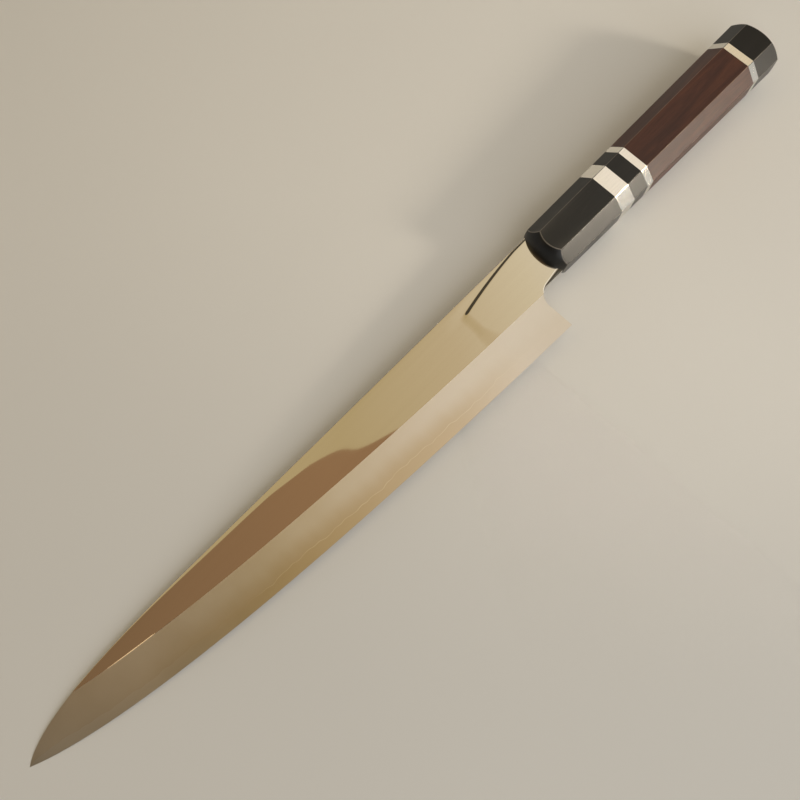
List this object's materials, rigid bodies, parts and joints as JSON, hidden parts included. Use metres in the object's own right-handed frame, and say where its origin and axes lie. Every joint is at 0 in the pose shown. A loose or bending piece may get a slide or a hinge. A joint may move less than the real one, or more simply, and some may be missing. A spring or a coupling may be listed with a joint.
{
  "type": "slicing knife",
  "caption": "Long slim double-bevel slicing knife with a laminated blade and an octagonal horn and wood handle, for drawing clean cuts through meat and fish.",
  "frame": {"origin": "under the middle of the bounding box, level with the lowest point of the handle's right face", "axes": "+X along the knife from the tip to the butt, +Y from the edge to the spine, +Z out of the left face"},
  "size_m": [0.4276, 0.043, 0.0212],
  "materials": {
    "hard_steel": "fine stone-polished edge steel",
    "soft_steel": "mirror-polished flat over a hazy stone-polished bevel",
    "nickel_silver": "polished",
    "horn": "polished black horn",
    "dark_wood": "oiled and buffed dark red-brown wood",
    "dowel_wood": "plain sanded wood",
    "adhesive": "cured dark resin"
  },
  "bodies": {
    "root": {"core_steel": "hard_steel", "cladding_left": "soft_steel", "cladding_right": "soft_steel", "tang_adhesive": "adhesive", "ferrule": "horn", "front_ring": "nickel_silver", "spacer": "horn", "middle_ring": "nickel_silver", "handle_body": "dark_wood", "rear_ring": "nickel_silver", "end_cap": "horn", "front_dowel": "dowel_wood", "rear_dowel": "dowel_wood"}
  },
  "joints": []
}
